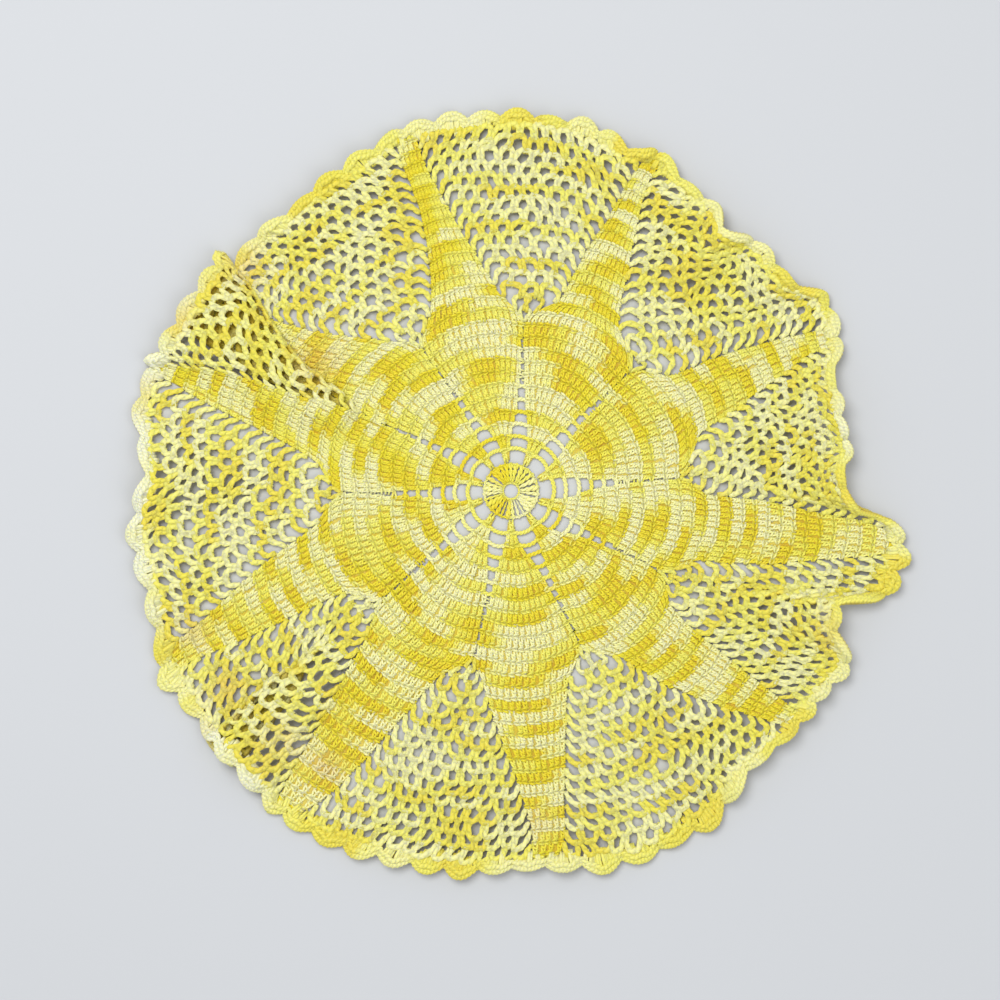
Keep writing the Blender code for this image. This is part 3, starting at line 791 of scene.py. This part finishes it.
class Strands:
    """Strands of yarn gathered for one piece: each is a tube along its line."""

    def __init__(self):
        self.batches = []

    def add(self, middle, up, radius, yarn):
        """Adds n strands of p points: their middles and which way is up, both (n, p, 3), and their yarn."""
        n, p, _ = middle.shape
        ahead = unit(np.gradient(middle, axis=1))
        side = unit(np.cross(ahead, up))
        over = np.cross(side, ahead)
        turn = 2 * math.pi * (np.arange(SIDES) + 0.5) / SIDES
        out = np.cos(turn)[:, None] * side[:, :, None] + np.sin(turn)[:, None] * over[:, :, None]
        steps = np.linalg.norm(np.diff(middle, axis=1), axis=2)
        along = np.concatenate([np.zeros((n, 1)), np.cumsum(steps, 1)], 1)
        yarn = np.broadcast_to(np.asarray(yarn, float).reshape(n, -1), along.shape)
        radius = np.broadcast_to(radius, (n, p))[:, :, None, None]
        # Painted shade: each strand's colour is darkened on its lower sides and hardly at all on its top.
        painted_shade = np.broadcast_to((1 - np.sin(turn)) / 2, (n, p, SIDES))
        self.batches.append((middle[:, :, None] + radius * out, along, yarn, painted_shade))

    def piece(self, name, faded=0.0, bleached=()):
        """All of the strands as one piece."""
        grid = math.ceil(math.sqrt(sum(len(rings) for rings, _, _, _ in self.batches)))
        gathered, first, before = [], 0, 0
        for rings, along, yarn, painted_shade in self.batches:
            n, p, _, _ = rings.shape
            face, point_at, round_it, cell = tube(p)
            faces = face + (first + np.arange(n) * p * SIDES)[:, None, None]
            number = before + np.arange(n)
            maps = (cell + np.stack([number % grid, number // grid], -1)[:, None]) / grid
            twist = np.zeros(maps.shape)
            twist[:, : len(point_at), 0] = along[:, point_at] * 2 * math.pi / PLY_PITCH
            twist[:, : len(point_at), 1] = round_it
            at_points = (rings.reshape(-1, 3), faces.reshape(-1, 4), np.repeat(yarn.ravel(), SIDES))
            gathered.append((*at_points, painted_shade.ravel(), maps.reshape(-1, 2), twist.reshape(-1, 2)))
            first += n * p * SIDES
            before += n
        return make_piece(name, *map(np.concatenate, zip(*gathered)), faded, bleached)


def petal_stitches(petals):
    """Every stitch of these petals: its petal, the row it ends at, its number across and the row's count."""
    found = []
    for petal in petals:
        for row in range(1, PETAL_ROWS + 1):
            count = int(stitches_in(row))
            found += [(petal, row, number, count) for number in range(count)]
    return np.array(found, float)


def worked_share(row, at_row, side):
    """Half of a petal's width in sectors, at a height within one of its rows. Its stitches past the waist
    stand straight up, apart from those near its sides."""
    own = petal_share(worked_at(row)) * arc(worked_at(row))
    here = petal_share(at_row) * arc(at_row)
    half = np.where(row < WAIST_ROW, here, own + (here - own) * np.abs(side) ** SIDE_LEAN)
    return (half + SEAM_LAP * smooth(at_row / LAP_ROW)) / arc(at_row)


def work_petals(name, petals):
    """Works all the stitches of some petals into one piece."""
    petal, row, number, count = petal_stitches(petals).T[:, :, None]
    strands = Strands()
    lean_up, lean_aside, lean_high = rng.normal(0, STITCH_UNEVEN, (len(petal), 3)).T[:, :, None]
    height = np.where(row < PETAL_ROWS, 1.0, LAST_ROW_HEIGHT)
    start = yarn_at(row - 0.5, petal + (2 * (number + 0.5) / count - 1) * petal_share(row - 0.5))
    for order, strand in enumerate(DOUBLE_CROCHET):
        across, up_row, high = np.array(strand[1:])
        at_row = row - 1 + (up_row + lean_up * 0.5) * height
        side = 2 * (number + 0.5 + across + lean_aside) / count - 1
        sector = petal + side * worked_share(row, at_row, side)
        points = np.stack([at_row + bow(at_row, side), sector, high + lean_high * 2], -1)
        yarn = start + order / len(DOUBLE_CROCHET) * YARN_PER_STITCH
        strands.add(*over_cloth(points), strand.radius, yarn)
    return strands.piece(name)


petal_pieces, first_petal = [], 0
for part, petals in enumerate(PETALS_TO_A_PIECE, 1):
    petal_pieces.append(work_petals(f"petals_{part}", range(first_petal, first_petal + petals)))
    first_petal += petals

# ----------------------------------------------------------------------
# The ring and the ladders: the work starts with 28 trebles crocheted into a small loop of the same cotton.
# Chains of a few stitches join the petals' roots across each row, like the rungs of ladders, until the
# petals meet.
# ----------------------------------------------------------------------

# The trebles: how far from the ring's middle their feet and heads lie, and how high, all in mm.
TREBLES = 28
TREBLE_FOOT = 4.2
TREBLE_HEAD = 13.2
TREBLE_HIGH = 0.25
TREBLE_SWELL = 0.35
TREBLE_UNEVEN = 0.16
TREBLE_TURNS = 1.5
TREBLE_POINTS = 9

# A chain's two strands: how far from its middle each lies and how thick it is, in mm. A treble is slim at
# its foot and spreads towards its head, so that slits show between the feet alone.
Twist = namedtuple("Twist", "apart radius")
TREBLE_AT_FOOT = Twist(0.25, 0.48)
TREBLE_AT_HEAD = Twist(0.75, 0.92)
ROUND_THE_RING = Twist(0.4, 0.5)
RUNG = Twist(0.5, 0.86)
CHAIN_FLAT = 0.7

# The loop in the middle, and the Vs that lie along the trebles' heads, in rows and in mm high.
LOOP_RADIUS = 4.1
LOOP_POINTS = 49
LOOP_TWISTS = 12
LOOP_YARN = 0.1
HEADS_ROW = -0.24
HEADS_WAVE = 0.04
HEADS_HIGH = 0.45

# The rungs: how far they bow outwards in rows, how far each end goes into its petal, in mm, and a chain
# stitch's length.
RUNG_ROWS = 6
RUNG_INSIDE = 0.05
RUNG_BOW = 0.12
RUNG_UNEVEN = 0.04
RUNG_HOLD = 0.8
RUNG_HIGH = 0.4
CHAIN_STITCH = 5.2
CHAIN_POINTS = 6


def taper(start, end, part):
    """A twist that changes from the start's to the end's."""
    return Twist(*[a + (b - a) * part for a, b in zip(start, end)])


def chain(strands, points, turns_made, yarn, twist, phase=0.0):
    """A chain along each line of points: two strands that twist about each other."""
    middle, up = over_cloth(points)
    side = np.cross(unit(np.gradient(middle, axis=1)), up)
    turn = 2 * math.pi * turns_made * np.linspace(0, 1, points.shape[1]) + np.reshape(phase, (-1, 1))
    apart = np.broadcast_to(twist.apart, turn.shape)[..., None]
    for half in (0.0, math.pi):
        swing = np.cos(turn + half)[..., None] * side + CHAIN_FLAT * np.sin(turn + half)[..., None] * up
        strands.add(middle + apart * swing, up, twist.radius, yarn)


def work_trebles(strands):
    """The ring's trebles."""
    part = np.linspace(0, 1, TREBLE_POINTS)
    lean_out, lean_foot, lean_head = rng.normal(0, TREBLE_UNEVEN, (TREBLES, 3)).T[:, :, None]
    reach = TREBLE_FOOT + (TREBLE_HEAD - TREBLE_FOOT) * part + lean_out
    number = np.arange(TREBLES)[:, None] + lean_foot * (1 - part) + lean_head * part * 0.5
    sector = number / TREBLES * SECTORS
    high = TREBLE_HIGH + TREBLE_SWELL * np.sin(math.pi * part) + lean_out
    points = np.stack([(reach - RING_RADIUS) / ROW_HEIGHT, sector, high], -1)
    phase = rng.uniform(0, 2 * math.pi, TREBLES)
    plump = 1 + rng.normal(0, TREBLE_UNEVEN, (TREBLES, 1))
    twist = Twist(*[size * plump for size in taper(TREBLE_AT_FOOT, TREBLE_AT_HEAD, part)])
    chain(strands, points, TREBLE_TURNS, sector / SECTORS * YARN_OF_RING, twist, phase)


def work_round(strands, row, around, high, turns_made, yarn):
    """A thin chain all the way round the ring."""
    line = np.stack(np.broadcast_arrays(row, around, high), -1)[None]
    chain(strands, line, turns_made, yarn, ROUND_THE_RING)


def work_rungs(strands, row):
    """The chains across one row of all the ladders."""
    half = float(arc(row) * net_share(row) + RUNG_HOLD) / float(arc(row))
    count = max(5, int(2 * half * arc(row) / CHAIN_STITCH * CHAIN_POINTS) + 4)
    part = np.linspace(-1, 1, count)
    fan = np.arange(SECTORS)[:, None] + 0.5
    bowed = (RUNG_BOW + rng.normal(0, RUNG_UNEVEN, (SECTORS, 1))) * (1 - part**2)
    points = np.stack(np.broadcast_arrays(row - RUNG_INSIDE + bowed, fan + part * half, RUNG_HIGH), -1)
    yarn = yarn_at(row - 0.5, fan[:, 0])
    phase = rng.uniform(0, 6, SECTORS)
    chain(strands, points, (count - 1) / CHAIN_POINTS, yarn, RUNG, phase)


def work_ring():
    """The ring's trebles, the loop they are worked into, the Vs along their tops, and the ladders' rungs."""
    strands = Strands()
    work_trebles(strands)
    around = np.linspace(0, SECTORS, LOOP_POINTS)
    work_round(strands, (LOOP_RADIUS - RING_RADIUS) / ROW_HEIGHT, around, 0.0, LOOP_TWISTS, LOOP_YARN)
    around = np.linspace(0, SECTORS, 4 * TREBLES + 1)
    heads = HEADS_ROW + HEADS_WAVE * np.cos(2 * math.pi * around * TREBLES / SECTORS)
    work_round(strands, heads, around, HEADS_HIGH, TREBLES, around / SECTORS * YARN_OF_RING)
    for row in range(1, RUNG_ROWS + 1):
        work_rungs(strands, row)
    return strands.piece("ring_and_ladders")


ring = work_ring()

# ----------------------------------------------------------------------
# The net: ten fans of chain loops between the petals. Each loop is about five chain stitches, held at its
# feet by single crochet over the middles of two loops of the row below, and each row has one loop more.
# ----------------------------------------------------------------------

FANS_TO_A_PIECE = (4, 3, 3)

# The loops: how often their strands turn, how unevenly they are worked, in half loops and in rows, and how
# high their tops and their feet lie, in mm.
LOOP_TURNS = 2.5
LOOP_UNEVEN = 0.17
LOOP_LEAN = 0.10
ROW_UNEVEN = 0.08
LOOP_HIGH = 0.60
FOOT_HIGH = 0.80

# The open net has faded in the light a little more than the petals.
NET_FADED = 0.25

# A loop is drawn thin where it stands on its feet, and is plump over its top.
LOOP_AT_FOOT = Twist(0.38, 1.25)
LOOP_AT_TOP = Twist(0.48, 1.60)

# Where the work is pushed together, its chains are squeezed: from what stride, in mm, and how far at most.
LOOSE = 6.6
TIGHTEST = 0.68

# Half of a loop: how far from its middle, in half loops, and how far up its row. It leaves its foot close
# beside its neighbour, stands up, and turns over in a round top.
Bend = namedtuple("Bend", "side up")
LOOP = [
    Bend(0.84, -0.06),
    Bend(0.78, 0.12),
    Bend(0.79, 0.32),
    Bend(0.80, 0.52),
    Bend(0.76, 0.74),
    Bend(0.60, 0.92),
    Bend(0.32, 1.02),
    Bend(0.00, 1.04),
]

# The single crochet over each foot: two short strands, by their place in half loops and rows, and height.
KNOT = [
    Strand(1.05, across=[-0.24, -0.18, -0.06], up_row=[-0.22, 0.02, 0.26], high=[0.4, 1.3, 0.8]),
    Strand(1.05, across=[0.24, 0.18, 0.10], up_row=[-0.22, 0.02, 0.26], high=[0.4, 1.2, 0.7]),
]

# The net's slack: how far it is drawn aside in rows and in half fans, how high it swells, in mm, and its two
# waves, in radians to the half fan, to the row and to the fan.
SLACK_ROWS = 0.12
SLACK_ASIDE = 0.03
SLACK_HIGH = 1.0
Wave = namedtuple("Wave", "side row fan")
RISE_AND_FALL = Wave(5.1, 0.9, 2.3)
TO_AND_FRO = Wave(4.3, -1.1, 1.7)


def in_fan(fan, side, row, high):
    """Points of a fan's net by half fans from its middle, row and height."""
    return np.stack(np.broadcast_arrays(row, fan + 0.5 + side * net_share(row), high), -1)


def slackened(fan, side, row, high):
    """Points of a fan's net by half fans from its middle, row and height, eased into small waves except where
    a petal holds them."""
    free = 1 - np.clip(np.abs(side), 0, 1) ** 3
    rise, swing = [np.sin(w.side * side + w.row * row + w.fan * fan) for w in (RISE_AND_FALL, TO_AND_FRO)]
    return in_fan(
        fan,
        side + SLACK_ASIDE * free * swing,
        row + SLACK_ROWS * free * rise,
        high + SLACK_HIGH * free * (1 + rise) / 2,
    )


def net_knots(rows):
    """Where the loops of each row cross the middles of those below, from side to side in half fans."""
    found = []
    for tier in range(rows + 1):
        count = tier + 1
        side = -1 + 2 * np.arange(count + 1) / count
        row = NET_FIRST_ROW + tier + rng.normal(0, ROW_UNEVEN, count + 1)
        side[1:-1] += rng.normal(0, LOOP_UNEVEN, count - 1) / count
        found.append(np.stack([side, row], -1))
    return found


def work_net(name, fans):
    """Works all the loops of some fans of net into one piece."""
    strands = Strands()
    half_loop = np.array(LOOP)
    swing = np.concatenate([-half_loop[:, 0], half_loop[-2::-1, 0]])
    rise = np.concatenate([half_loop[:, 1], half_loop[-2::-1, 1]])
    along = np.linspace(-0.5, 0.5, len(rise))
    plump = taper(LOOP_AT_FOOT, LOOP_AT_TOP, smooth(rise))
    high = LOOP_HIGH + (FOOT_HIGH - LOOP_HIGH) * (1 - rise)
    for fan in fans:
        knots = net_knots(NET_TIERS)
        for tier in range(NET_TIERS):
            feet, tops = knots[tier], knots[tier + 1][1:-1]
            count = len(feet) - 1
            middle = (feet[1:] + feet[:-1])[:, None] / 2
            half = (feet[1:] - feet[:-1])[:, None] / 2
            narrower = 1 - rise / (count + 4)
            slump = rng.normal(0, LOOP_LEAN, (count, 1)) * rise * (1 - rise) * 4 / count
            points = middle + (tops[:, None] - middle) * rise[:, None] + half * (swing * narrower)[:, None]
            line = slackened(fan, points[..., 0] + slump, points[..., 1], high)
            worked = NET_FIRST_ROW + tier + 0.5
            yarn = yarn_at(worked, fan + 0.5 + middle[:, :, 0] * net_share(worked)) + YARN_PER_LOOP * along
            phase = rng.uniform(0, 2 * math.pi, count)
            laid_feet, _ = over_cloth(in_fan(fan, feet[:, 0], feet[:, 1], 0.0))
            stride = np.linalg.norm(np.diff(laid_feet, axis=0), axis=1)[:, None]
            tight = np.clip(stride / LOOSE, TIGHTEST, 1.0)
            chain(strands, line, LOOP_TURNS, yarn, Twist(*[size * tight for size in plump]), phase)
            if count == 1:
                continue
            for strand in KNOT:
                across, up_row, knot_high = np.array(strand[1:])
                knot = slackened(fan, feet[1:-1, :1] + across / count, feet[1:-1, 1:] + up_row, knot_high)
                strands.add(*over_cloth(knot), strand.radius, yarn[1:, :1])
    return strands.piece(name, NET_FADED)


net_pieces, first_fan = [], 0
for part, fans in enumerate(FANS_TO_A_PIECE, 1):
    net_pieces.append(work_net(f"net_{part}", range(first_fan, first_fan + fans)))
    first_fan += fans

# ----------------------------------------------------------------------
# The edge: a last round of shells. Every two loops of the net hold a fan of close stitches, whose tops
# spread into a thick scallop with two cords along its rim, and a small gap is left between two fans' feet.
# The left side has been bleached nearly white.
# ----------------------------------------------------------------------

# The outermost round has faded a little, as the net has, and parts of it are bleached.
EDGE_FADED = 0.3

# The edge's stitches: how far apart they are, in mm, and how far down their feet reach, in rows. The feet of
# a shell are drawn together over the loops that hold it.
EDGE_PITCH = 2.35
EDGE_STEPS = 4
EDGE_UNEVEN = 0.2
HEAD_UNEVEN = 0.4
HEAD_INSIDE = 0.1
SHELL_FOOT = 26.95
FOOT_UNEVEN = 0.2
FOOT_DRAWN = 0.78
EDGE_STITCH = [
    Strand(
        1.10,
        across=[-0.40, -0.36, -0.26, -0.10, -0.02],
        up_row=[0.0, 0.22, 0.50, 0.80, 1.0],
        high=[0.2, 0.9, 1.2, 1.0, 0.2],
    ),
    Strand(
        1.00,
        across=[0.10, 0.16, 0.26, 0.40, 0.48],
        up_row=[0.0, 0.22, 0.52, 0.80, 0.98],
        high=[0.2, 0.8, 0.9, 1.1, 0.2],
    ),
]

# The cords along the rim: how far inside it each lies and waves, in rows, how high it is in mm, its two
# strands, and its turns to a stitch. Between two scallops a cord is drawn thinner, to this share.
Cord = namedtuple("Cord", "inside waving high twist turns")
RIM_CORDS = [
    Cord(0.16, 0.0, 0.7, Twist(0.6, 1.5), 0.7),
    Cord(0.52, 0.10, 1.3, Twist(0.5, 1.3), 0.6),
]
CORD_WAVES = 2.5
CORD_VALLEY = 0.65

# Where the sun has bleached the edge.
BLEACHED = [
    Patch(-166, 100, 14, 0.6),
    Patch(-182, 62, 16, 0.7),
    Patch(-188, 30, 18, 0.75),
    Patch(-190, -5, 18, 0.75),
    Patch(-188, -35, 18, 0.75),
    Patch(-178, -58, 10, 0.6),
    Patch(-150, -118, 14, 0.6),
    Patch(-132, -142, 14, 0.6),
    Patch(162, 70, 12, 0.4),
    Patch(160, 33, 12, 0.4),
]


def evenly_round(row, pitch, steps):
    """Sectors along a row as it lies, so many steps to each pitch in mm, and a whole number of pitches."""
    fine = np.linspace(0, SECTORS, 6001)
    line = lay(np.full(fine.shape, row), fine)
    length = np.concatenate([[0.0], np.cumsum(np.linalg.norm(np.diff(line, axis=0), axis=1))])
    count = round(length[-1] / pitch) * steps
    return np.interp((np.arange(count) + 0.5) / count * length[-1], length, fine)


def work_edge():
    """The stitches over the outermost loops, and the cords along the rim."""
    strands = Strands()
    sector = evenly_round(RIM_ROW - 0.5, EDGE_PITCH, 1)[:, None]
    pitch = np.gradient(sector, axis=0)
    lean = rng.normal(0, EDGE_UNEVEN, (len(sector), 3))
    foot_row = SHELL_FOOT + rng.normal(0, FOOT_UNEVEN, sector.shape)
    shell = (np.floor(sector * SCALLOPS) + 0.5) / SCALLOPS
    yarn = yarn_at(RIM_ROW, sector[:, 0])
    for strand in EDGE_STITCH:
        across, along, high = np.array(strand[1:])
        head = sector + (across + lean[:, 1:2]) * pitch
        at_sector = shell + (head - shell) * (FOOT_DRAWN + (1 - FOOT_DRAWN) * smooth(along))
        head_row = rim_row(head) - HEAD_INSIDE + lean[:, :1] * HEAD_UNEVEN
        at_row = foot_row + (head_row - foot_row) * along
        tilt = TILTS[scallop_at(head)] * swell_at(head) * along
        points = np.stack([at_row, at_sector, high + tilt + lean[:, 2:]], -1)
        strands.add(*over_cloth(points), strand.radius, yarn)
    around = evenly_round(RIM_ROW - 0.5, EDGE_PITCH, EDGE_STEPS)
    around = np.concatenate([around, around[:1] + SECTORS])
    swell = swell_at(around)
    for cord in RIM_CORDS:
        inside = cord.inside + cord.waving * np.sin(2 * math.pi * SCALLOPS * CORD_WAVES * around)
        high = cord.high + TILTS[scallop_at(around)] * swell
        line = np.stack([rim_row(around) - inside, around, high], -1)[None]
        twist = Twist(cord.twist.apart, cord.twist.radius * (CORD_VALLEY + (1 - CORD_VALLEY) * swell))
        chain(strands, line, len(sector) * cord.turns, yarn_at(RIM_ROW, around), twist)
    return strands.piece("edge", EDGE_FADED, BLEACHED)


edge = work_edge()

# ----------------------------------------------------------------------
# The stage: a plain pale floor, soft studio light and a camera straight above, as in the photograph.
# ----------------------------------------------------------------------

# How much of the table the picture shows and where its middle is, in mm.
FRAME_MM = 490.0
FRAME_X, FRAME_Y = -8.8, -3.3
LENS = 85.0
SENSOR = 36.0
CLOTH_LEVEL = 4.0

# Pale matte paper, which only takes the work's shadow.
floor_mesh = bpy.data.meshes.new("floor")
floor_mesh.from_pydata([(-3, -3, 0), (3, -3, 0), (3, 3, 0), (-3, 3, 0)], [], [(0, 1, 2, 3)])
floor = bpy.data.objects.new("floor", floor_mesh)
bpy.context.scene.collection.objects.link(floor)
paper = bpy.data.materials.new("pale paper")
paper.use_nodes = True
paper.node_tree.nodes["Principled BSDF"].inputs["Base Color"].default_value = to_linear("#C3C5C8")
paper.node_tree.nodes["Principled BSDF"].inputs["Roughness"].default_value = 0.85
floor_mesh.materials.append(paper)

Light = namedtuple("Light", "name x y z size power")
for light in [Light("key", -0.4, 0.5, 1.55, 0.8, 18.0), Light("fill", 0.9, -0.6, 1.5, 1.4, 7.0)]:
    lamp = bpy.data.lights.new(light.name, "AREA")
    lamp.size = light.size
    lamp.energy = light.power
    holder = bpy.data.objects.new(light.name, lamp)
    holder.location = (light.x, light.y, light.z)
    holder.rotation_euler = (-holder.location).to_track_quat("-Z", "Y").to_euler()
    bpy.context.scene.collection.objects.link(holder)

world = bpy.data.worlds.new("studio")
world.use_nodes = True
world.node_tree.nodes["Background"].inputs["Color"].default_value = to_linear("#F4F6F8")
world.node_tree.nodes["Background"].inputs["Strength"].default_value = 0.64
bpy.context.scene.world = world
bpy.context.scene.view_settings.view_transform = "Standard"

lens = bpy.data.cameras.new("camera")
lens.lens = LENS
lens.sensor_width = SENSOR
camera = bpy.data.objects.new("camera", lens)
camera.location = (FRAME_X * MM, FRAME_Y * MM, (FRAME_MM * LENS / SENSOR + CLOTH_LEVEL) * MM)
bpy.context.scene.collection.objects.link(camera)
bpy.context.scene.camera = camera
